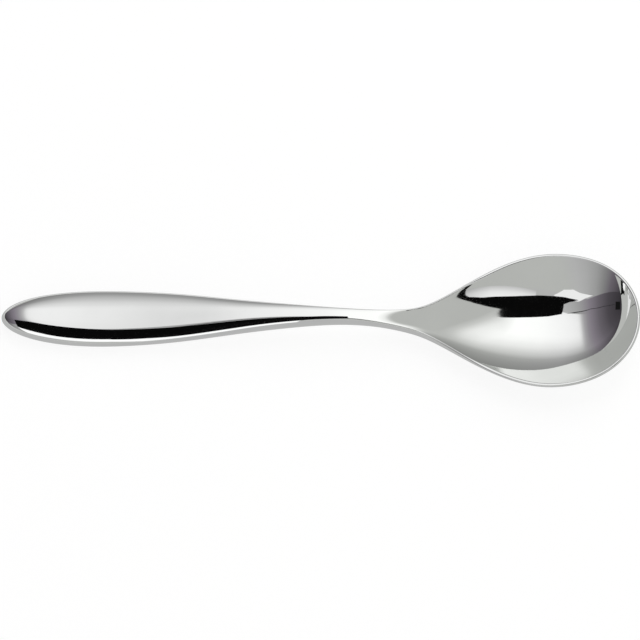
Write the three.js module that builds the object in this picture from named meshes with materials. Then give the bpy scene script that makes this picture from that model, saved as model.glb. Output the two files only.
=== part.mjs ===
// Serving spoon at rest on a table, in millimetres. +X runs from handle to bowl, +Z is up.
// A forged bowl, neck and tang is held in a hollow handle of two pressed shells, brazed at the neck
// and bedded in cement. All surfaces come from one sheet that runs the whole length of the spoon.
import * as THREE from "three";
import { mergeVertices } from "three/addons/utils/BufferGeometryUtils.js";

// Plan sizes
const HANDLE_LENGTH = 146; // handle's end to the narrowest place of the neck
const BOWL_LENGTH = 113.5; // from there to the bowl's tip
const HANDLE_WIDTH = 24.3;
const NECK_WIDTH = 6.2;
const BOWL_WIDTH = 59.2;
const END_ROUNDING = 54; // length over which the handle's end closes, seen from above
const TIP_ROUNDING = 34; // length over which the bowl's tip closes, seen from above

// Side sizes
const HANDLE_THICKNESS = 9.6;
const NOSE_ROUNDING = 16; // length over which the handle's end closes, seen from the side
const NECK_HEIGHT = 12.35; // middle of the neck above the table
const BOWL_DEPTH = 13; // of the hollow below its rim, at the bowl's lowest place
const BOWL_WALL = 1.5;
const FRONT_WALL = 31.5; // length over which the hollow rises to the tip
const HEEL_DROP = 4.05; // rim behind the bowl, below the rim beside its lowest place
const TIP_RISE = 3.85; // rim at the tip, above the rim beside the lowest place
const RIM_ROUNDING = 0.35;
const SIDE_ROUNDING = 1.5; // along the sides of handle and neck
const CROWN = 0.62; // fall of the handle's surface towards its sides, against half its thickness
const CONTACT_DEPTH = 0.15; // worn away where bowl and handle touch the table

// Inner sizes
const JOINT_FROM_NECK = 28; // handle's mouth, behind the narrowest place of the neck
const SHELL_WALL = 1;
const BRAZE_THICKNESS = 0.4;
const TANG_LENGTH = 42;
const TANG_TAPER = 0.75; // width of the tang's end against its root
const CEMENT_BED = 1.1; // room for cement around the tang at the handle's mouth
const CEMENT_BEHIND = 18; // cement beyond the tang's end
const CEMENT_GAP = 0.1;

// Section shapes: 2 is an ellipse, more is squarer
const EDGE_SECTION = 2.25;
const TANG_SECTION = 4;

// Fineness of the facets
const EDGE_STEPS = 3;
const EDGE_ZONE = 0.35; // most of a half-width that counts as its edge
const FACE_STEPS = 8;
const FACE_SPACING = 1.25; // over 1 draws the facets closer towards the middle
const HANDLE_STATIONS = 24;
const BOWL_STATIONS = 50;
const TANG_STATIONS = 6;
const CEMENT_STATIONS = 10;
const SLOPE_STEP = 0.01; // stations apart when a slope is measured
const WELD = 1e-3; // points closer than this are one point

const mix = (a, b, share) => a + (b - a) * share;

// Eases from 0 at station a to 1 at station b, with no break in curvature
function ease(a, b, s) {
  const t = Math.min(1, Math.max(0, (s - a) / (b - a)));
  return t ** 3 * (t * (6 * t - 15) + 10);
}

// Natural cubic spline through [station, value] knots
function spline(knots) {
  const x = knots.map((k) => k[0]);
  const y = knots.map((k) => k[1]);
  const last = x.length - 1;
  const bend = new Array(x.length).fill(0);
  const pivot = new Array(x.length).fill(0);
  for (let i = 1; i < last; i++) {
    const before = x[i] - x[i - 1];
    const after = x[i + 1] - x[i];
    const slopes = (y[i + 1] - y[i]) / after - (y[i] - y[i - 1]) / before;
    const scale = 2 * (before + after) - before * pivot[i - 1];
    pivot[i] = after / scale;
    bend[i] = (6 * slopes - before * bend[i - 1]) / scale;
  }
  for (let i = last - 1; i > 0; i--) {
    bend[i] -= pivot[i] * bend[i + 1];
  }
  return (s) => {
    let i = 0;
    while (i < last - 1 && s > x[i + 1]) i++;
    const step = x[i + 1] - x[i];
    const a = x[i + 1] - s;
    const b = s - x[i];
    const curved = (bend[i] * a ** 3 + bend[i + 1] * b ** 3) / (6 * step);
    const left = y[i] / step - (bend[i] * step) / 6;
    const right = y[i + 1] / step - (bend[i + 1] * step) / 6;
    return curved + left * a + right * b;
  };
}

// Closes an end roundly over a length; a width takes its square root
const closing = (distance, length) => (distance < length ? 1 - (1 - distance / length) ** 3 : 1);

// Stations along the spoon, from the handle's end
const onHandle = (share) => share * HANDLE_LENGTH;
const onBowl = (share) => HANDLE_LENGTH + share * BOWL_LENGTH;
const LENGTH = onBowl(1);
const THINS_FROM = onHandle(0.58);
const THINS_TO = onBowl(0.56);
const SHARPENS_FROM = onHandle(0.78);
const SHARPENS_TO = onBowl(0.36);
const FLATTENS_FROM = onHandle(0.2);
const FLATTENS_TO = onBowl(0.55);
const DISHES_FROM = onBowl(0.01);
const DISHES_TO = onBowl(0.9);
const LOWEST_AT = onBowl(0.72);
const JOINT_AT = HANDLE_LENGTH - JOINT_FROM_NECK;
const SHOULDER_AT = JOINT_AT + BRAZE_THICKNESS;
const TANG_END = SHOULDER_AT - TANG_LENGTH;
const CEMENT_END = TANG_END - CEMENT_BEHIND;

// Half-width of the plan outline before its two ends are rounded
const handleHalf = HANDLE_WIDTH / 2;
const neckHalf = NECK_WIDTH / 2;
const bowlHalf = BOWL_WIDTH / 2;
const outline = spline([
  [onHandle(0), mix(neckHalf, handleHalf, 0.96)],
  [onHandle(0.315), handleHalf],
  [onHandle(0.5), mix(neckHalf, handleHalf, 0.8)],
  [onHandle(0.668), mix(neckHalf, handleHalf, 0.435)],
  [onHandle(0.835), mix(neckHalf, handleHalf, 0.13)],
  [onHandle(1), neckHalf],
  [onBowl(0.149), mix(neckHalf, bowlHalf, 0.052)],
  [onBowl(0.219), mix(neckHalf, bowlHalf, 0.125)],
  [onBowl(0.289), mix(neckHalf, bowlHalf, 0.27)],
  [onBowl(0.377), mix(neckHalf, bowlHalf, 0.503)],
  [onBowl(0.504), mix(neckHalf, bowlHalf, 0.805)],
  [onBowl(0.68), bowlHalf],
  [onBowl(0.8), mix(neckHalf, bowlHalf, 0.955)],
  [onBowl(1), mix(neckHalf, bowlHalf, 0.82)],
]);

// Height of the sheet's edge above the table: the handle's parting line, then the bowl's rim
const handleEdge = HANDLE_THICKNESS / 2 - CONTACT_DEPTH;
const rimEdge = BOWL_DEPTH + BOWL_WALL / 2 - CONTACT_DEPTH;
const edgeHeight = spline([
  [onHandle(0), handleEdge],
  [onHandle(0.1), handleEdge],
  [onHandle(0.22), mix(handleEdge, NECK_HEIGHT, 0.053)],
  [onHandle(0.5), mix(handleEdge, NECK_HEIGHT, 0.425)],
  [onHandle(0.8), mix(handleEdge, NECK_HEIGHT, 0.933)],
  [onHandle(0.97), NECK_HEIGHT],
  [onBowl(0.245), rimEdge - HEEL_DROP],
  [onBowl(0.5), rimEdge - 0.55 * HEEL_DROP],
  [LOWEST_AT, rimEdge],
  [onBowl(1), rimEdge + TIP_RISE],
]);

// An inset of the shell wall gives the handle's hollow, which closes one wall short of the handle's end
function halfWidthSquared(s, inset = 0) {
  const half = outline(s) - inset;
  const end = closing(s - inset, END_ROUNDING - inset);
  return half * half * end * closing(LENGTH - s, TIP_ROUNDING);
}
const halfWidth = (s, inset = 0) => Math.sqrt(Math.max(0, halfWidthSquared(s, inset)));

function halfThickness(s, inset = 0) {
  const thinning = ease(THINS_FROM, THINS_TO, s);
  const half = mix(HANDLE_THICKNESS, BOWL_WALL, thinning) / 2 - inset;
  return half * Math.sqrt(Math.max(0, closing(s - inset, NOSE_ROUNDING - inset)));
}

const edgeRounding = (s) => mix(SIDE_ROUNDING, RIM_ROUNDING, ease(SHARPENS_FROM, SHARPENS_TO, s));
const crown = (s) => CROWN * (1 - ease(FLATTENS_FROM, FLATTENS_TO, s));

// Slope of a measure along the spoon
const slopeOf = (measure, s) => (measure(s + SLOPE_STEP) - measure(s - SLOPE_STEP)) / (2 * SLOPE_STEP);

// Depth of the hollow along its middle: it starts in the neck and ends with the front wall
const dishing = (s) => ease(DISHES_FROM, DISHES_TO, s) * closing(LENGTH - s, FRONT_WALL);
const dishDepth = (s) => (BOWL_DEPTH * dishing(s)) / dishing(LOWEST_AT);

// Middle of the metal: level across the handle, a parabola across the bowl
const steepness = (s) => dishDepth(s) / Math.max(halfWidthSquared(s), WELD);
const sheetHeight = (s, y) => edgeHeight(s) - dishDepth(s) + steepness(s) * y * y;

function sheetNormal(s, y) {
  const along = slopeOf((at) => sheetHeight(at, y), s);
  const across = 2 * steepness(s) * y;
  return new THREE.Vector3(-along, -across, 1).normalize();
}

const bulge = (share, power) => (1 - Math.min(1, Math.max(0, share)) ** power) ** (1 / power);

// How far a surface stands off the sheet: crowned across the handle and rounded along all edges
function standOff(s, y, inset = 0) {
  const square = halfWidthSquared(s, inset);
  const slope = slopeOf((at) => halfWidthSquared(at, inset), s);
  const fromEdge = Math.max(0, square - y * y) / Math.max(Math.hypot(slope, 2 * y), WELD);
  const fall = (crown(s) * y * y) / Math.max(square, WELD);
  return halfThickness(s, inset) * (1 - fall) * bulge(1 - fromEdge / edgeRounding(s), EDGE_SECTION);
}

// Shares of the half-width at which a section is drawn, from its edge to its middle
function acrossShares(s) {
  const half = Math.max(halfWidth(s), WELD);
  const slope = slopeOf(halfWidthSquared, s) / (2 * half);
  const zone = Math.min(EDGE_ZONE, (edgeRounding(s) * Math.hypot(1, slope)) / half);
  const shares = [];
  for (let k = 0; k < EDGE_STEPS; k++) {
    shares.push(1 - zone * (1 - Math.cos((k * Math.PI) / 2 / EDGE_STEPS)));
  }
  for (let k = FACE_STEPS; k >= 0; k--) {
    shares.push((1 - zone) * (k / FACE_STEPS) ** FACE_SPACING);
  }
  return shares;
}

// Half a section, from the +Y edge to the -Y edge: side 1 goes over the top, side -1 underneath
function halfSection(s, side, pointAt) {
  const shares = acrossShares(s);
  const back = shares.slice(0, -1).reverse();
  const all = [...shares, ...back.map((share) => -share)];
  return all.map((share) => pointAt(s, share, side));
}

function wholeSection(s, pointAt) {
  const top = halfSection(s, 1, pointAt);
  const under = halfSection(s, -1, pointAt).reverse();
  return [...top, ...under.slice(1, -1)];
}

function sheetPoint(s, y, offset) {
  const point = new THREE.Vector3(s, y, sheetHeight(s, y));
  return point.addScaledVector(sheetNormal(s, y), offset);
}

// The outer skin, worn level where it meets the table
function skin(s, share, side) {
  const y = share * halfWidth(s);
  const point = sheetPoint(s, y, side * standOff(s, y));
  point.z = Math.max(0, point.z);
  return point;
}

// The wall of the handle's hollow, or a layer set further in
const hollow = (inset) => (s, share, side) => {
  const y = share * halfWidth(s, inset);
  return sheetPoint(s, y, side * standOff(s, y, inset));
};

// The tapering tang, or the bore around it
const tang = (gap) => (s, share, side) => {
  const taper = mix(1, TANG_TAPER, (SHOULDER_AT - s) / TANG_LENGTH);
  const halfAcross = (halfWidth(JOINT_AT, SHELL_WALL) - CEMENT_BED) * taper + gap;
  const halfHigh = (halfThickness(JOINT_AT, SHELL_WALL) - CEMENT_BED) * taper + gap;
  return sheetPoint(s, share * halfAcross, side * halfHigh * bulge(Math.abs(share), TANG_SECTION));
};

// A solid mesh from triangles of points, welded where points meet
function solidMesh(name, triangles, colour, roughness) {
  const points = new Float32Array(triangles.flatMap((p) => [p.x, p.y, p.z]));
  const loose = new THREE.BufferGeometry();
  loose.setAttribute("position", new THREE.BufferAttribute(points, 3));
  const geometry = mergeVertices(loose, WELD);
  const corners = [];
  for (let i = 0; i < geometry.index.count; i += 3) {
    const [a, b, c] = [0, 1, 2].map((k) => geometry.index.getX(i + k));
    if (a !== b && b !== c && c !== a) corners.push(a, b, c);
  }
  geometry.setIndex(corners);
  geometry.computeVertexNormals();
  const material = new THREE.MeshStandardMaterial({ color: colour, metalness: 1, roughness });
  const mesh = new THREE.Mesh(geometry, material);
  mesh.name = name;
  return mesh;
}

const quad = (a, b, c, d) => [a, b, d, b, c, d];

// Joins sections one after the other; each section is a closed loop or an open strip of points
function skinOver(sections, closed) {
  const triangles = [];
  for (let i = 0; i + 1 < sections.length; i++) {
    const here = sections[i];
    const next = sections[i + 1];
    const count = closed ? here.length : here.length - 1;
    for (let j = 0; j < count; j++) {
      const k = (j + 1) % here.length;
      triangles.push(...quad(here[j], here[k], next[k], next[j]));
    }
  }
  return triangles;
}

// Closes a loop with a fan; facing 1 looks towards the bowl, -1 towards the handle's end
function cap(loop, facing) {
  const middle = new THREE.Vector3();
  loop.forEach((p) => middle.addScaledVector(p, 1 / loop.length));
  return loop.flatMap((p, j) => {
    const q = loop[(j + 1) % loop.length];
    return facing > 0 ? [middle, p, q] : [middle, q, p];
  });
}

// Stations from a to b, closer together towards the rounded end b
function stationsTo(a, b, count) {
  const stations = [];
  for (let i = 0; i <= count; i++) {
    stations.push(mix(a, b, Math.sin((i * Math.PI) / 2 / count)));
  }
  return stations;
}

function evenStations(a, b, count) {
  const stations = [];
  for (let i = 0; i <= count; i++) {
    stations.push(mix(a, b, i / count));
  }
  return stations;
}

function makeBowl() {
  const tangLoops = evenStations(TANG_END, SHOULDER_AT, TANG_STATIONS).map((s) => wholeSection(s, tang(0)));
  const bowlLoops = stationsTo(SHOULDER_AT, LENGTH, BOWL_STATIONS).map((s) => wholeSection(s, skin));
  const triangles = [...cap(tangLoops[0], -1), ...skinOver([...tangLoops, ...bowlLoops], true)];
  return solidMesh("bowl", triangles, 0xd3d5d8, 0.08);
}

// One pressed half of the handle: outer skin, hollow, parting faces and mouth
function makeShell(name, side) {
  const outerAt = stationsTo(JOINT_AT, 0, HANDLE_STATIONS).reverse();
  const innerAt = stationsTo(JOINT_AT, SHELL_WALL, HANDLE_STATIONS).reverse();
  const outer = outerAt.map((s) => halfSection(s, side, skin));
  const inner = innerAt.map((s) => halfSection(s, side, hollow(SHELL_WALL)));
  const loops = outer.map((strip, i) => [...strip, ...inner[i].slice().reverse()]);
  const triangles = skinOver(loops, true);
  const mouthOuter = outer[HANDLE_STATIONS];
  const mouthInner = inner[HANDLE_STATIONS];
  triangles.push(...skinOver([mouthOuter, mouthInner], false));
  if (side < 0) {
    for (let i = 0; i < triangles.length; i += 3) {
      [triangles[i + 1], triangles[i + 2]] = [triangles[i + 2], triangles[i + 1]];
    }
  }
  return solidMesh(name, triangles, 0xd3d5d8, 0.08);
}

// Ring of braze between the handle's mouth and the neck's shoulder, around the tang
function makeBraze() {
  const bore = tang(CEMENT_GAP);
  const stations = [JOINT_AT, SHOULDER_AT];
  const outer = stations.map((s) => wholeSection(s, skin));
  const inner = stations.map((s) => wholeSection(s, bore)).reverse();
  const triangles = skinOver([...outer, ...inner, outer[0]], true);
  return solidMesh("neck_braze", triangles, 0xc9c6bd, 0.15);
}

// Cement in the front of the hollow, with a blind bore for the tang
function makeCement() {
  const front = JOINT_AT - CEMENT_GAP;
  const outer = evenStations(CEMENT_END, front, CEMENT_STATIONS)
    .map((s) => wholeSection(s, hollow(SHELL_WALL + CEMENT_GAP)));
  const bore = evenStations(front, TANG_END - CEMENT_GAP, TANG_STATIONS)
    .map((s) => wholeSection(s, tang(CEMENT_GAP)));
  const triangles = [
    ...cap(outer[0], -1),
    ...skinOver([...outer, ...bore], true),
    ...cap(bore[TANG_STATIONS], 1),
  ];
  const mesh = solidMesh("tang_cement", triangles, 0x8f8a80, 0.9);
  mesh.material.metalness = 0;
  return mesh;
}

const spoon = new THREE.Group();
spoon.name = "serving_spoon";
spoon.add(makeBowl());
spoon.add(makeShell("handle_upper_shell", 1));
spoon.add(makeShell("handle_lower_shell", -1));
spoon.add(makeBraze());
spoon.add(makeCement());

// The part's origin is under the middle of its length
const extent = new THREE.Box3().setFromObject(spoon);
const middleX = (extent.min.x + extent.max.x) / 2;
spoon.children.forEach((mesh) => mesh.geometry.translate(-middleX, 0, 0));

export default spoon;
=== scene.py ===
"""Polished steel serving spoon with a hollow handle, lying on a white table under a soft box."""

import math

import bmesh
import bpy
import numpy as np
from mathutils import Matrix, Vector


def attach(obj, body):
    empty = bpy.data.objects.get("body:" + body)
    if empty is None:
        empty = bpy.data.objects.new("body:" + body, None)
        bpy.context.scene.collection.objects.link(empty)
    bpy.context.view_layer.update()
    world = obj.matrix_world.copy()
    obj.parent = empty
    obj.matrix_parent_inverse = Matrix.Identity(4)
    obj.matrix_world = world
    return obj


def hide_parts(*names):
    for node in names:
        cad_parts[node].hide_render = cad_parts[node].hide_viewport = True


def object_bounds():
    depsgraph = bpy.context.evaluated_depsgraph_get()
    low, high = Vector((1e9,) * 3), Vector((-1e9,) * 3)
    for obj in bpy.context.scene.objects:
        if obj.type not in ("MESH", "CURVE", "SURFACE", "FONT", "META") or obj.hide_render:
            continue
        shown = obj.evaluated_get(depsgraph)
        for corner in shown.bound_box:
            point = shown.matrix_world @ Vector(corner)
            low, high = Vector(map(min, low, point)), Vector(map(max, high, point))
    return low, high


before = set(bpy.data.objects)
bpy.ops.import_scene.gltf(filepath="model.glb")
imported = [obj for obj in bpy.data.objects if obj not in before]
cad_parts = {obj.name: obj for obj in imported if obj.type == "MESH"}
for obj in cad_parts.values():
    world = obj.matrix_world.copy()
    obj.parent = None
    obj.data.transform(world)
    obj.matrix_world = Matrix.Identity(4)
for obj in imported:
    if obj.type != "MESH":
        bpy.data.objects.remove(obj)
CAD_BOX = [list(corner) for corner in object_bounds()]

# Plan of the spoon in millimetres, as in the part's source
HANDLE_LENGTH = 146.0  # handle's end to the narrowest place of the neck
BOWL_LENGTH = 113.5  # from there to the bowl's tip
HANDLE_WIDTH = 24.3
NECK_WIDTH = 6.2
BOWL_WIDTH = 59.2
END_ROUNDING = 54.0  # length over which the handle's end closes, seen from above
TIP_ROUNDING = 34.0  # length over which the bowl's tip closes, seen from above

# Heights and thicknesses in millimetres, as in the part's source
HANDLE_THICKNESS = 9.6
NOSE_ROUNDING = 16.0  # length over which the handle's end closes, seen from the side
NECK_HEIGHT = 12.35  # middle of the neck above the table
BOWL_DEPTH = 13.0  # of the hollow below its rim, at the bowl's lowest place
BOWL_WALL = 1.5
FRONT_WALL = 31.5  # length over which the hollow rises to the tip
HEEL_DROP = 4.05  # rim behind the bowl, below the rim beside its lowest place
TIP_RISE = 3.85  # rim at the tip, above the rim beside the lowest place
RIM_ROUNDING = 0.35
SIDE_ROUNDING = 1.5  # along the sides of handle and neck
CROWN = 0.62  # fall of the handle's surface towards its sides, against half its thickness
CONTACT_DEPTH = 0.15  # worn away where bowl and handle touch the table

# Joint and tang in millimetres, as in the part's source
JOINT_FROM_NECK = 28.0  # handle's mouth, behind the narrowest place of the neck
SHELL_WALL = 1.0
BRAZE_THICKNESS = 0.4
TANG_LENGTH = 42.0
TANG_TAPER = 0.75  # width of the tang's end against its root
CEMENT_BED = 1.1  # room for cement around the tang at the handle's mouth
CEMENT_GAP = 0.1

# Exponents of the rounded sections, as in the part's source
EDGE_SECTION = 2.25
TANG_SECTION = 4.0

# The rim's ground land in millimetres, which is finer than the solids' facets
RIM_LAND = 0.18  # above the middle of the rim's edge
LAND_BLEND = 0.3  # height over and under the land in which the cut is rounded

# Fineness of the meshes
EDGE_STEPS = 7
EDGE_SHARE = 0.35  # most of a half-width that counts as its edge
LAND_STEPS = 12
LAND_ZONE = 1.6  # millimetres beside the edge that the land may take up
LAND_SHARE = 0.5  # most of a half-width that edge and land take up
FACE_STEPS = 40
BOWL_STATIONS = 300
HANDLE_STATIONS = 220
TANG_STATIONS = 24
SLOPE_STEP = 0.01  # stations apart when a slope is measured
WELD = 1e-3  # points closer than this are one point
SHARP_ANGLE = math.radians(40)
MM = 0.001

# Camera, by the photograph, in metres
ELEVATION = math.radians(65)
ROLL = math.radians(1.134)
FRAME_WIDTH = 0.2606
CAMERA_DISTANCE = 3.0
AIM = Vector((-0.0001, 0, 0.0086))
SENSOR_WIDTH = 36  # in millimetres

# Materials: tones are a dark and a light one, a finish is the least and the greatest roughness
STEEL_TONES = (0.735, 0.74, 0.735), (0.76, 0.765, 0.76)
BRAZE_TONES = (0.735, 0.735, 0.725), (0.76, 0.76, 0.75)
METAL_FINISH = 0.015, 0.04
POLISHING_LINES = (60, 2600, 2600)  # per metre along each axis
LINE_DEPTH = 0.00002
LINE_STRENGTH = 0.02
MOTTLE_SCALE = 70.0
CEMENT_TONES = (0.3, 0.285, 0.26), (0.52, 0.5, 0.465)
CEMENT_FINISH = 0.8, 0.97
GRAIN_SCALE = 900.0
PIT_SCALE = 500.0
PIT_DEPTH = 0.0003
PIT_STRENGTH = 0.5
TONES_AT = 0.3, 0.7  # noise values of the dark and the light tone

# Studio: distances in metres, those of panels and far cards from its centre
STUDIO_CENTRE = Vector((0.06, 0, 0.01))
ROOM_RADIUS = 2.4
FRONT_RADIUS = 2.3
BOX_RADIUS = 2.0
STRIP_RADIUS = 0.97
FLAG_RADIUS = 0.93
STAND_RADIUS = 0.92
PANEL_STEPS = 24
WALL_RADIUS = 1.3
WALL_HEIGHT = 0.2
WALL_TURNS = 95, 265  # degrees from +X
WALL_STEPS = 40
HANDLE_FLAG_TOP = 30  # millimetres over the table
TABLE_CARD_REACH = 0.3  # to each side
TABLE_CARD_FRONT = -0.4
TABLE_CARD_BACK = 0.03
TWO_WALLS = 1.5  # a glossy depth over this has met two steel walls

# Light and colour of the studio
WHITE = (1, 1, 1)
PURPLE = (1.0, 0.9, 1.04)
GREEN = (0.985, 1.0, 0.965)
EVEN = ((0, WHITE), (1, WHITE))
BLACK = 0.003
STAND_GREY = 0.01
AIR_GREY = 0.6

# Table
FLOOR_SIZE = 8
FLOOR_GAP = 0.0002  # under the spoon
FLOOR_GRAIN = 300.0
FLOOR_GLOW = 0.8
FLOOR_SHADE = 0.35


def mix(a, b, share):
    return a + (b - a) * share


def ease(a, b, s):
    """0 at station a, 1 at station b, with no break in curvature."""
    t = np.clip((s - a) / (b - a), 0, 1)
    return t ** 3 * (t * (6 * t - 15) + 10)


def spline(knots):
    """Natural cubic spline through (station, value) knots."""
    x, y = np.array(knots, float).T
    step = np.diff(x)
    rise = np.diff(y) / step
    system = np.eye(len(x))
    bends = np.zeros(len(x))
    for i in range(1, len(x) - 1):
        system[i, i - 1:i + 2] = step[i - 1], 2 * (step[i - 1] + step[i]), step[i]
        bends[i] = 6 * (rise[i] - rise[i - 1])
    bends = np.linalg.solve(system, bends)

    def value(s):
        i = np.clip(np.searchsorted(x, s) - 1, 0, len(step) - 1)
        before, after, width = s - x[i], x[i + 1] - s, step[i]
        curved = (bends[i] * after ** 3 + bends[i + 1] * before ** 3) / (6 * width)
        left = y[i] / width - bends[i] * width / 6
        right = y[i + 1] / width - bends[i + 1] * width / 6
        return curved + left * after + right * before

    return value


def closing(distance, length):
    """Closes an end roundly over a length; a width takes its square root."""
    return np.where(distance < length, 1 - (1 - distance / length) ** 3, 1.0)


def on_handle(share):
    return share * HANDLE_LENGTH


def on_bowl(share):
    return HANDLE_LENGTH + share * BOWL_LENGTH


LENGTH = on_bowl(1)
LOWEST_AT = on_bowl(0.72)
THINS_FROM = on_handle(0.58)
THINS_TO = on_bowl(0.56)
SHARPENS_FROM = on_handle(0.78)
SHARPENS_TO = on_bowl(0.36)
FLATTENS_FROM = on_handle(0.2)
FLATTENS_TO = on_bowl(0.55)
DISHES_FROM = on_bowl(0.01)
DISHES_TO = on_bowl(0.9)
GROUND_FROM = on_bowl(0.3)
GROUND_TO = on_bowl(0.5)
JOINT_AT = HANDLE_LENGTH - JOINT_FROM_NECK
SHOULDER_AT = JOINT_AT + BRAZE_THICKNESS
TANG_END = SHOULDER_AT - TANG_LENGTH

handle_half = HANDLE_WIDTH / 2
neck_half = NECK_WIDTH / 2
bowl_half = BOWL_WIDTH / 2
outline = spline([
    (on_handle(0), mix(neck_half, handle_half, 0.96)),
    (on_handle(0.315), handle_half),
    (on_handle(0.5), mix(neck_half, handle_half, 0.8)),
    (on_handle(0.668), mix(neck_half, handle_half, 0.435)),
    (on_handle(0.835), mix(neck_half, handle_half, 0.13)),
    (on_handle(1), neck_half),
    (on_bowl(0.149), mix(neck_half, bowl_half, 0.052)),
    (on_bowl(0.219), mix(neck_half, bowl_half, 0.125)),
    (on_bowl(0.289), mix(neck_half, bowl_half, 0.27)),
    (on_bowl(0.377), mix(neck_half, bowl_half, 0.503)),
    (on_bowl(0.504), mix(neck_half, bowl_half, 0.805)),
    (on_bowl(0.68), bowl_half),
    (on_bowl(0.8), mix(neck_half, bowl_half, 0.955)),
    (on_bowl(1), mix(neck_half, bowl_half, 0.82)),
])

handle_edge = HANDLE_THICKNESS / 2 - CONTACT_DEPTH
rim_edge = BOWL_DEPTH + BOWL_WALL / 2 - CONTACT_DEPTH
edge_height = spline([
    (on_handle(0), handle_edge),
    (on_handle(0.1), handle_edge),
    (on_handle(0.22), mix(handle_edge, NECK_HEIGHT, 0.053)),
    (on_handle(0.5), mix(handle_edge, NECK_HEIGHT, 0.425)),
    (on_handle(0.8), mix(handle_edge, NECK_HEIGHT, 0.933)),
    (on_handle(0.97), NECK_HEIGHT),
    (on_bowl(0.245), rim_edge - HEEL_DROP),
    (on_bowl(0.5), rim_edge - 0.55 * HEEL_DROP),
    (LOWEST_AT, rim_edge),
    (on_bowl(1), rim_edge + TIP_RISE),
])


def half_width_squared(s, inset=0.0):
    half = outline(s) - inset
    end = closing(s - inset, END_ROUNDING - inset)
    return half * half * end * closing(LENGTH - s, TIP_ROUNDING)


def half_width(s, inset=0.0):
    return np.sqrt(np.maximum(0, half_width_squared(s, inset)))


def half_thickness(s, inset=0.0):
    half = mix(HANDLE_THICKNESS, BOWL_WALL, ease(THINS_FROM, THINS_TO, s)) / 2 - inset
    return half * np.sqrt(np.maximum(0, closing(s - inset, NOSE_ROUNDING - inset)))


def edge_rounding(s):
    return mix(SIDE_ROUNDING, RIM_ROUNDING, ease(SHARPENS_FROM, SHARPENS_TO, s))


def crown(s):
    return CROWN * (1 - ease(FLATTENS_FROM, FLATTENS_TO, s))


def slope_of(measure, s):
    return (measure(s + SLOPE_STEP) - measure(s - SLOPE_STEP)) / (2 * SLOPE_STEP)


def dishing(s):
    return ease(DISHES_FROM, DISHES_TO, s) * closing(LENGTH - s, FRONT_WALL)


def dish_depth(s):
    return BOWL_DEPTH * dishing(s) / dishing(np.array(LOWEST_AT))


def steepness(s):
    return dish_depth(s) / np.maximum(half_width_squared(s), WELD)


def sheet_height(s, y):
    """Middle of the metal: level across the handle, a parabola across the bowl."""
    return edge_height(s) - dish_depth(s) + steepness(s) * y * y


def sheet_point(s, y, offset):
    """A point that stands off the sheet, square to it."""
    along = slope_of(lambda at: sheet_height(at, y), s)
    across = 2 * steepness(s) * y
    normal = np.stack([-along, -across, np.ones_like(along)], -1)
    normal /= np.linalg.norm(normal, axis=-1, keepdims=True)
    return np.stack([s, y, sheet_height(s, y)], -1) + offset[..., None] * normal


def bulge(share, power):
    return (1 - np.clip(share, 0, 1) ** power) ** (1 / power)


def stand_off(s, y, inset=0.0):
    """How far a surface stands off the sheet: crowned across the handle, rounded along all edges."""
    square = half_width_squared(s, inset)
    slope = slope_of(lambda at: half_width_squared(at, inset), s)
    from_edge = np.maximum(0, square - y * y) / np.maximum(np.hypot(slope, 2 * y), WELD)
    fall = crown(s) * y * y / np.maximum(square, WELD)
    rounded = bulge(1 - from_edge / edge_rounding(s), EDGE_SECTION)
    return half_thickness(s, inset) * (1 - fall) * rounded


def ground_level(s):
    """Height at which the bowl's rim is ground to a narrow land; above the metal in handle and neck."""
    stands = mix(half_thickness(s), RIM_LAND, ease(GROUND_FROM, GROUND_TO, s))
    return edge_height(s) + stands


def ground_off(height, level):
    """Cuts a height off at a level, with a small rounding."""
    over = height - level
    rounded = level - (LAND_BLEND - over) ** 2 / (4 * LAND_BLEND)
    return np.where(over < -LAND_BLEND, height, np.where(over > LAND_BLEND, level, rounded))


def skin(s, share, side):
    """The outer skin, worn level where it meets the table."""
    y = share * half_width(s)
    points = sheet_point(s, y, side * stand_off(s, y))
    points[..., 2] = np.maximum(0, ground_off(points[..., 2], ground_level(s)))
    return points


def hollow(s, share, side):
    """The wall of the handle's hollow."""
    y = share * half_width(s, SHELL_WALL)
    return sheet_point(s, y, side * stand_off(s, y, SHELL_WALL))


def tang(gap):
    """The tapering tang, or the bore around it."""
    mouth = np.array(JOINT_AT)
    across = half_width(mouth, SHELL_WALL) - CEMENT_BED
    high = half_thickness(mouth, SHELL_WALL) - CEMENT_BED

    def point(s, share, side):
        taper = mix(1, TANG_TAPER, (SHOULDER_AT - s) / TANG_LENGTH)
        offset = (high * taper + gap) * bulge(np.abs(share), TANG_SECTION)
        return sheet_point(s, share * (across * taper + gap), side * offset)

    return point


def across_shares(s):
    """Shares of the half-width from the +Y edge to the -Y edge, closest together at the edges."""
    half = np.maximum(half_width(s), WELD)
    slant = np.hypot(1, slope_of(half_width_squared, s) / (2 * half))
    zone = np.minimum(EDGE_SHARE, edge_rounding(s) * slant / half)[:, None]
    land = np.minimum(LAND_SHARE, zone + (LAND_ZONE * slant / half)[:, None])
    edge = 1 - zone * (1 - np.cos(np.arange(EDGE_STEPS) * math.pi / 2 / EDGE_STEPS))
    rim = 1 - mix(zone, land, np.arange(LAND_STEPS) / LAND_STEPS)
    face = (1 - land) * np.arange(FACE_STEPS, -1, -1) / FACE_STEPS
    half_row = np.concatenate([edge, rim, face], 1)
    return np.concatenate([half_row, -half_row[:, -2::-1]], 1)


def strips(stations, side, point_at):
    """One row of points over (side 1) or under (side -1) the spoon for each station."""
    shares = across_shares(stations)
    s = np.broadcast_to(stations[:, None], shares.shape)
    return point_at(s, shares, side)


def rings(stations, point_at):
    """A closed ring of points for each station."""
    top = strips(stations, 1, point_at)
    under = strips(stations, -1, point_at)
    return np.concatenate([top, under[:, -2:0:-1]], 1)


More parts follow.
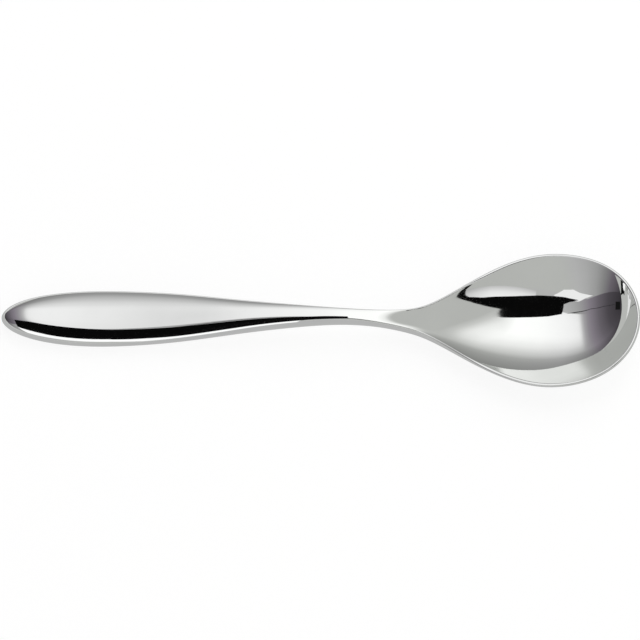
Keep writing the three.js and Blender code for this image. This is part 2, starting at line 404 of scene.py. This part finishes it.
def towards(a, b, count):
    """Stations from a to b, closer together towards the rounded end b."""
    return mix(a, b, np.sin(np.arange(count + 1) * math.pi / 2 / count))


def skin_over(rows, closed):
    """Points and quads that join rows of points one after the other."""
    count, width = rows.shape[:2]
    index = np.arange(count * width).reshape(count, width)
    after = np.roll(index, -1, 1)
    if not closed:
        index, after = index[:, :-1], after[:, :-1]
    quads = np.stack([index[:-1], after[:-1], after[1:], index[1:]], -1)
    return rows.reshape(-1, 3), quads.reshape(-1, 4)


def placed(points):
    """Points in the part's frame, in metres: the handle's end lies at the end of the part's box."""
    return np.asarray(points) * MM + (CAD_BOX[0][0], 0, 0)


def make_piece(name, sheets, caps, material):
    """A closed mesh, facing outwards, from sheets of quads and flat end loops."""
    bm = bmesh.new()
    for points, quads in sheets:
        verts = [bm.verts.new(p) for p in placed(points)]
        for quad in quads:
            bm.faces.new([verts[i] for i in quad])
    for loop in caps:
        bm.faces.new([bm.verts.new(p) for p in placed(loop)])
    bmesh.ops.remove_doubles(bm, verts=bm.verts, dist=WELD * MM)
    bmesh.ops.dissolve_degenerate(bm, edges=bm.edges, dist=WELD * MM)
    bmesh.ops.recalc_face_normals(bm, faces=bm.faces)
    if bm.calc_volume(signed=True) < 0:
        bmesh.ops.reverse_faces(bm, faces=bm.faces)
    for edge in bm.edges:
        edge.smooth = len(edge.link_faces) == 2 and edge.calc_face_angle(math.pi) < SHARP_ANGLE
    for face in bm.faces:
        face.smooth = True
    mesh = bpy.data.meshes.new(name)
    bm.to_mesh(mesh)
    bm.free()
    mesh.materials.append(material)
    piece = bpy.data.objects.new(name, mesh)
    bpy.context.scene.collection.objects.link(piece)
    return piece


def make_bowl(material):
    """Bowl, neck and shoulder, with the tang that runs into the handle."""
    tang_rings = rings(np.linspace(TANG_END, SHOULDER_AT, TANG_STATIONS), tang(0))
    bowl_rings = rings(towards(SHOULDER_AT, LENGTH, BOWL_STATIONS), skin)
    body = np.concatenate([tang_rings, bowl_rings])
    return make_piece("forged_bowl", [skin_over(body, True)], [tang_rings[0]], material)


def make_shell(name, side, material):
    """One pressed half of the handle, with its hollow, parting faces and mouth."""
    outer = strips(towards(JOINT_AT, 0, HANDLE_STATIONS), side, skin)
    inner = strips(towards(JOINT_AT, SHELL_WALL, HANDLE_STATIONS), side, hollow)
    loops = np.concatenate([outer, inner[:, ::-1]], 1)
    mouth = np.stack([outer[0], inner[0]])
    return make_piece(name, [skin_over(loops, True), skin_over(mouth, False)], [], material)


def make_braze(material):
    """Ring of braze between the handle's mouth and the neck's shoulder."""
    stations = np.array([JOINT_AT, SHOULDER_AT])
    outer = rings(stations, skin)
    inner = rings(stations, tang(CEMENT_GAP))
    around = np.stack([outer[0], outer[1], inner[1], inner[0], outer[0]])
    return make_piece("braze_ring", [skin_over(around, True)], [], material)


class Nodes:
    """Short calls for a material's nodes."""

    def __init__(self, name):
        self.material = bpy.data.materials.new(name)
        self.material.use_nodes = True
        self.tree = self.material.node_tree
        self.tree.nodes.clear()

    def add(self, kind, **inputs):
        """A node with its inputs set by name or linked to a socket."""
        node = self.tree.nodes.new(kind)
        for name, value in inputs.items():
            socket = node.inputs[name.replace("_", " ")]
            if isinstance(value, bpy.types.NodeSocket):
                self.tree.links.new(value, socket)
            else:
                socket.default_value = value
        return node

    def feed(self, node, start, *sockets):
        """Links sockets to a node's inputs, from the input at start on."""
        for index, socket in enumerate(sockets, start):
            self.tree.links.new(socket, node.inputs[index])
        return node

    def ramp(self, factor, stops):
        """A colour ramp of (position, colour) stops."""
        node = self.add("ShaderNodeValToRGB", Fac=factor)
        elements = node.color_ramp.elements
        while len(elements) < len(stops):
            elements.new(0.5)
        for element, (position, colour) in zip(elements, stops):
            element.position = position
            element.color = (*colour, 1)
        return node.outputs["Color"]

    def done(self, shader):
        self.feed(self.add("ShaderNodeOutputMaterial"), 0, shader)
        return self.material


def metal(name, tones):
    """Mirror-polished metal: faint polishing lines along the length and a slight mottle of tone."""
    n = Nodes(name)
    place = n.add("ShaderNodeTexCoord").outputs["Object"]
    lines_at = n.add("ShaderNodeMapping", Vector=place, Scale=POLISHING_LINES).outputs["Vector"]
    lines = n.add("ShaderNodeTexNoise", Vector=lines_at, Scale=1.0, Detail=3.0).outputs["Fac"]
    mottle = n.add("ShaderNodeTexNoise", Vector=place, Scale=MOTTLE_SCALE, Detail=4.0).outputs["Fac"]
    tone = n.ramp(mottle, list(zip(TONES_AT, tones)))
    smooth, dull = METAL_FINISH
    rough = n.add("ShaderNodeMapRange", Value=mottle, To_Min=smooth, To_Max=dull).outputs["Result"]
    bump = n.add("ShaderNodeBump", Height=lines, Strength=LINE_STRENGTH, Distance=LINE_DEPTH)
    shader = n.add("ShaderNodeBsdfPrincipled", Base_Color=tone, Metallic=1.0, Roughness=rough,
                   Normal=bump.outputs["Normal"])
    return n.done(shader.outputs["BSDF"])


def cement_material():
    """Grey setting cement with fine grains and small pits."""
    n = Nodes("cement")
    place = n.add("ShaderNodeTexCoord").outputs["Object"]
    grains = n.add("ShaderNodeTexNoise", Vector=place, Scale=GRAIN_SCALE, Detail=8.0).outputs["Fac"]
    pits = n.add("ShaderNodeTexVoronoi", Vector=place, Scale=PIT_SCALE).outputs["Distance"]
    tone = n.ramp(grains, list(zip(TONES_AT, CEMENT_TONES)))
    smooth, dull = CEMENT_FINISH
    rough = n.add("ShaderNodeMapRange", Value=grains, To_Min=smooth, To_Max=dull).outputs["Result"]
    bump = n.add("ShaderNodeBump", Height=pits, Strength=PIT_STRENGTH, Distance=PIT_DEPTH).outputs["Normal"]
    shader = n.add("ShaderNodeBsdfPrincipled", Base_Color=tone, Roughness=rough, Normal=bump)
    return n.done(shader.outputs["BSDF"])


def grey(level, tint=WHITE):
    return tuple(level * t for t in tint)


def fade(*stops):
    """Ramp stops from (position, level) or (position, level, tint)."""
    return [(position, grey(*light)) for position, *light in stops]


def direction(turn, lean):
    """From the studio's centre: turn 0 is the front, 90 overhead, 180 the back; lean is to the tip."""
    turn, lean = math.radians(turn), math.radians(lean)
    return Vector((math.sin(lean), -math.cos(lean) * math.cos(turn), math.cos(lean) * math.sin(turn)))


def inner_glow(n, light, inner):
    """Changes a light to one colour where the bowl's wall shows it by way of the opposite wall."""
    depth = n.add("ShaderNodeLightPath").outputs["Glossy Depth"]
    twice = n.feed(n.add("ShaderNodeMath"), 0, depth)
    twice.operation = "GREATER_THAN"
    twice.inputs[1].default_value = TWO_WALLS
    pale = n.add("ShaderNodeEmission", Color=(*inner, 1)).outputs["Emission"]
    choice = n.add("ShaderNodeMixShader", Fac=twice.outputs["Value"])
    return n.feed(choice, 1, light, pale).outputs["Shader"]


def glow(name, along, across, adds, inner):
    """A panel's light: a colour by its place along the spoon, times a colour by its place across.

    Where it adds, the light comes on top of what stands behind the panel.
    """
    n = Nodes(name)
    place = n.add("ShaderNodeSeparateXYZ", Vector=n.add("ShaderNodeUVMap").outputs["UV"]).outputs
    both = n.feed(n.add("ShaderNodeVectorMath"), 0, n.ramp(place["X"], along), n.ramp(place["Y"], across))
    both.operation = "MULTIPLY"
    light = n.add("ShaderNodeEmission", Color=both.outputs["Vector"]).outputs["Emission"]
    if inner:
        light = inner_glow(n, light, inner)
    if adds:
        clear = n.add("ShaderNodeBsdfTransparent").outputs["BSDF"]
        light = n.feed(n.add("ShaderNodeAddShader"), 0, light, clear).outputs["Shader"]
    return n.done(light)


def stage_panel(name, mesh, material):
    """A thing of the studio: reflections show it, the camera doesn't, and it casts no shadow."""
    mesh.materials.append(material)
    thing = bpy.data.objects.new(name, mesh)
    bpy.context.scene.collection.objects.link(thing)
    thing.visible_camera = False
    thing.visible_shadow = False
    return thing


def panel(name, radius, corners, along, across=EVEN, adds=False, inner=None):
    """A bent studio panel between four (turn, lean) corners.

    They are its front, its front to the tip, its back to the tip and its back.
    """
    steps = PANEL_STEPS
    front, front_tip, back_tip, back = [np.array(corner, float) for corner in corners]
    points, places = [], []
    for row in np.linspace(0, 1, steps + 1):
        for column in np.linspace(0, 1, steps + 1):
            here = mix(mix(front, front_tip, column), mix(back, back_tip, column), row)
            points.append(STUDIO_CENTRE + radius * direction(*here))
            places.append((column, row))
    corner = np.arange(steps * (steps + 1)).reshape(steps, steps + 1)[:, :-1].ravel()
    quads = np.stack([corner, corner + 1, corner + steps + 2, corner + steps + 1], 1)
    mesh = bpy.data.meshes.new(name)
    mesh.from_pydata(points, [], quads.tolist())
    layer = mesh.uv_layers.new(name="place")
    for loop in mesh.loops:
        layer.data[loop.index].uv = places[loop.vertex_index]
    stage_panel(name, mesh, glow(name, along, across, adds, inner))


def card(name, points, faces, colour):
    """A studio card of one colour."""
    mesh = bpy.data.meshes.new(name)
    mesh.from_pydata(points, [], faces)
    n = Nodes(name)
    shader = n.add("ShaderNodeEmission", Color=(*colour, 1))
    return stage_panel(name, mesh, n.done(shader.outputs["Emission"]))


def far_card(name, radius, corners, colour):
    """A card between (turn, lean) corners round the studio's centre."""
    points = [STUDIO_CENTRE + radius * direction(*corner) for corner in corners]
    card(name, points, [range(len(points))], colour)


def handle_card(name, stations, high, low, colour):
    """A strip close over the handle between two edges of (y, z) in millimetres, a pair for each station."""
    count = len(stations)
    x = [s * MM + CAD_BOX[0][0] for s in stations]
    points = [(at, y * MM, z * MM) for edge in (high, low) for at, (y, z) in zip(x, edge)]
    quads = [(i, i + 1, count + i + 1, count + i) for i in range(count - 1)]
    strip = card(name, points, quads, colour)
    strip.visible_diffuse = False


def table_card(colour):
    """A card that lies before the spoon, just over the table, and shows in the spoon's lower edges."""
    edge = [(-TABLE_CARD_REACH, TABLE_CARD_FRONT), (TABLE_CARD_REACH, TABLE_CARD_FRONT),
            (TABLE_CARD_REACH, TABLE_CARD_BACK), (-TABLE_CARD_REACH, TABLE_CARD_BACK)]
    points = [(x, y, -FLOOR_GAP / 2) for x, y in edge]
    lying = card("table_card", points, [range(len(points))], colour)
    lying.visible_diffuse = False


def low_wall(colour):
    """A pale band that stands on the table behind the handle's end."""
    turns = np.radians(np.linspace(*WALL_TURNS, WALL_STEPS + 1))
    ring = [(STUDIO_CENTRE.x + WALL_RADIUS * math.cos(t), WALL_RADIUS * math.sin(t)) for t in turns]
    points = [(x, y, z) for x, y in ring for z in (0, WALL_HEIGHT)]
    quads = [(2 * i, 2 * i + 2, 2 * i + 3, 2 * i + 1) for i in range(WALL_STEPS)]
    card("low_wall", points, quads, colour)


def hang_room():
    """The room, dim beyond the handle's end, with a grey front before it."""
    room = fade((0, 0.03, PURPLE), (0.16, 0.09, PURPLE), (0.25, 0.17, PURPLE), (0.33, 0.29, PURPLE),
                (0.42, 0.45), (0.5, 0.58), (0.6, 0.6, GREEN))
    room_back = fade((0, 1), (0.85, 1), (0.92, 0.7), (1, 0.5))
    corners = [(2, -88), (2, 88), (178, 88), (178, -88)]
    panel("room", ROOM_RADIUS, corners, room, room_back, inner=grey(0.65, GREEN))
    front = fade((0, 0.52), (0.1, 0.57), (0.23, 0.6, GREEN), (1, 0.6, GREEN))
    panel("front", FRONT_RADIUS, [(2, -28), (2, 60), (64, 60), (64, -28)], front)
    front_end = fade((0, 0.08, PURPLE), (0.32, 0.18, PURPLE), (0.55, 0.3), (0.74, 0.42), (1, 0.52))
    panel("front_end", FRONT_RADIUS, [(2, -75), (2, -28), (64, -28), (42, -75)], front_end)


def hang_soft_box():
    """The soft box overhead, brightest towards the tip, fading to the handle and to the back."""
    box = fade((0, 0), (0.17, 0.01), (0.26, 0.08), (0.31, 0.2), (0.37, 0.5), (0.41, 0.6), (0.45, 0.62),
               (0.63, 0.62), (0.7, 0.65), (0.81, 0.73), (0.945, 0.75), (0.97, 0.5), (0.985, 0.15), (1, 0))
    box_back = fade((0, 0.93), (0.2, 1), (0.5, 1), (0.61, 0.9), (0.75, 0.65), (0.89, 0.25), (1, 0))
    corners = [(86, -34), (86, 20.3), (158, 20.3), (158, -34)]
    panel("soft_box", BOX_RADIUS, corners, box, box_back, adds=True)


def hang_strips():
    """Two white strips over the bowl, one to the tip and one to the handle."""
    strip = fade((0, 1.05), (0.7, 1.15), (1, 0.8))
    strip_fade = fade((0, 0.6), (0.5, 0.9), (1, 1))
    corners = [(66.8, 11.5), (62, 28.8), (74, 26.2), (77, 12.7)]
    panel("strip_to_tip", STRIP_RADIUS, corners, strip, strip_fade)
    to_handle = [(68, 3.4), (60, -3.5), (57.1, -11.2), (58.7, -17.5), (58.8, -34), (64, -23), (69, -15),
                 (71, 1.5)]
    far_card("strip_to_handle", STRIP_RADIUS, to_handle, grey(1.1))


def hang_flag():
    """The black flag before the soft box, with its hook, and the boom and foot of its stand."""
    flag = [(67.3, -14.7), (67.5, -1.7), (71.2, 11.6), (74.6, 19.7), (75.3, 23.2), (72, 25.8), (68.5, 27.1),
            (61.8, 28.7), (57, 28.4), (57, 29.4), (61.2, 29.8), (64.2, 29.4), (68.5, 28.4), (78.6, 24.3),
            (85, 21.9), (89.6, 20.3), (100.7, 19.6), (98.4, 16.7), (93.6, 8.6), (88.5, 2.7), (75.8, -0.2),
            (72, -4.7)]
    far_card("flag", FLAG_RADIUS, flag, grey(BLACK))
    boom = [(88, 2), (83.6, -8), (78, -30), (76.5, -53), (81.5, -71), (82.5, -71), (77.3, -53), (78.8, -30),
            (84.8, -8)]
    far_card("boom", STAND_RADIUS, boom, grey(STAND_GREY))
    foot = [(73.8, -71.7), (83.9, -79.3), (123.6, -76.6), (101.9, -70.8)]
    far_card("stand_foot", STAND_RADIUS, foot, grey(STAND_GREY))


def hang_handle_cards():
    """A black flag and a white strip below it: the dark band and the white line along the handle."""
    stations = (-8, 12, 42, 57, 72, 97, 124, 133, 144)
    top = [(y, HANDLE_FLAG_TOP) for y in (-5.8, -5.6, -8.5, -8.5, -8.2, -6, -3.5, -0.3, 2.4)]
    middle = [(-20, 27), (-17.7, 27), (-17.4, 27), (-21, 27), (-30, 27), (-32, 20), (-32, 19), (-31, 23),
              (-6, 27)]
    low = [(-44, 18), (-38, 24), (-42, 24), (-44, 12), (-44, 10), (-44, 2), (-44, 1)]
    handle_card("handle_flag", stations, top, middle, grey(BLACK))
    handle_card("handle_strip", stations[:len(low)], middle, low, grey(1.33))


def make_studio():
    """What the spoon reflects besides the table and itself."""
    hang_room()
    hang_soft_box()
    hang_strips()
    hang_flag()
    hang_handle_cards()
    low_wall(grey(0.62, GREEN))
    table_card(grey(0.59))


def seen_share(n):
    """1 for rays that show a surface to the camera: straight, in a mirror or through glass."""
    rays = n.add("ShaderNodeLightPath").outputs
    share = rays["Is Camera Ray"]
    for kind in ("Is Glossy Ray", "Is Transmission Ray"):
        either = n.feed(n.add("ShaderNodeMath"), 0, share, rays[kind])
        either.operation = "MAXIMUM"
        share = either.outputs["Value"]
    return share


def make_floor():
    """White table: the camera and the metal see it glow, with a faint shadow under the spoon."""
    n = Nodes("white_table")
    place = n.add("ShaderNodeTexCoord").outputs["Object"]
    grain = n.add("ShaderNodeTexNoise", Vector=place, Scale=FLOOR_GRAIN, Detail=2.0).outputs["Fac"]
    paint = n.add("ShaderNodeBsdfDiffuse", Color=n.ramp(grain, fade((0, 0.93), (1, 0.96))))
    shade = n.add("ShaderNodeBsdfDiffuse", Color=(*grey(FLOOR_SHADE), 1))
    light = n.add("ShaderNodeEmission", Strength=FLOOR_GLOW)
    seen = n.feed(n.add("ShaderNodeAddShader"), 0, shade.outputs["BSDF"], light.outputs["Emission"])
    table = n.add("ShaderNodeMixShader", Fac=seen_share(n))
    n.feed(table, 1, paint.outputs["BSDF"], seen.outputs["Shader"])
    bpy.ops.mesh.primitive_plane_add(size=FLOOR_SIZE, location=(0, 0, -FLOOR_GAP))
    floor = bpy.context.object
    floor.name = "white_table"
    floor.data.materials.append(n.done(table.outputs["Shader"]))


def make_world():
    world = bpy.data.worlds.new("studio_air")
    bpy.context.scene.world = world
    world.use_nodes = True
    air = world.node_tree.nodes["Background"]
    air.inputs["Color"].default_value = (*grey(AIR_GREY, GREEN), 1)
    air.inputs["Strength"].default_value = 1.0


def make_camera():
    """A long lens that looks down on the spoon at the photograph's angle, turned by its roll."""
    data = bpy.data.cameras.new("camera")
    data.sensor_width = SENSOR_WIDTH
    data.lens = SENSOR_WIDTH * CAMERA_DISTANCE / FRAME_WIDTH
    camera = bpy.data.objects.new("camera", data)
    bpy.context.scene.collection.objects.link(camera)
    upright, tilt = math.cos(ROLL), math.sin(ROLL)
    high, low = math.sin(ELEVATION), math.cos(ELEVATION)
    right = Vector((upright, tilt * high, tilt * low))
    up = Vector((-tilt, upright * high, upright * low))
    back = Vector((0, -low, high))
    turned = Matrix((right, up, back)).transposed().to_4x4()
    camera.matrix_world = Matrix.Translation(AIM + back * CAMERA_DISTANCE) @ turned
    bpy.context.scene.camera = camera


steel = metal("polished_steel", STEEL_TONES)
braze = metal("silver_braze", BRAZE_TONES)
pieces = [
    (make_bowl(steel), "bowl", "polished_steel"),
    (make_shell("upper_shell", 1, steel), "handle_upper_shell", "polished_steel"),
    (make_shell("lower_shell", -1, steel), "handle_lower_shell", "polished_steel"),
    (make_braze(braze), "neck_braze", "silver_braze"),
]
for piece, node, slot in pieces:
    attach(piece, "root")
    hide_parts(node)
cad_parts["tang_cement"].data.materials.clear()
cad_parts["tang_cement"].data.materials.append(cement_material())

make_studio()
make_floor()
make_world()
make_camera()
bpy.context.scene.view_settings.view_transform = "Standard"
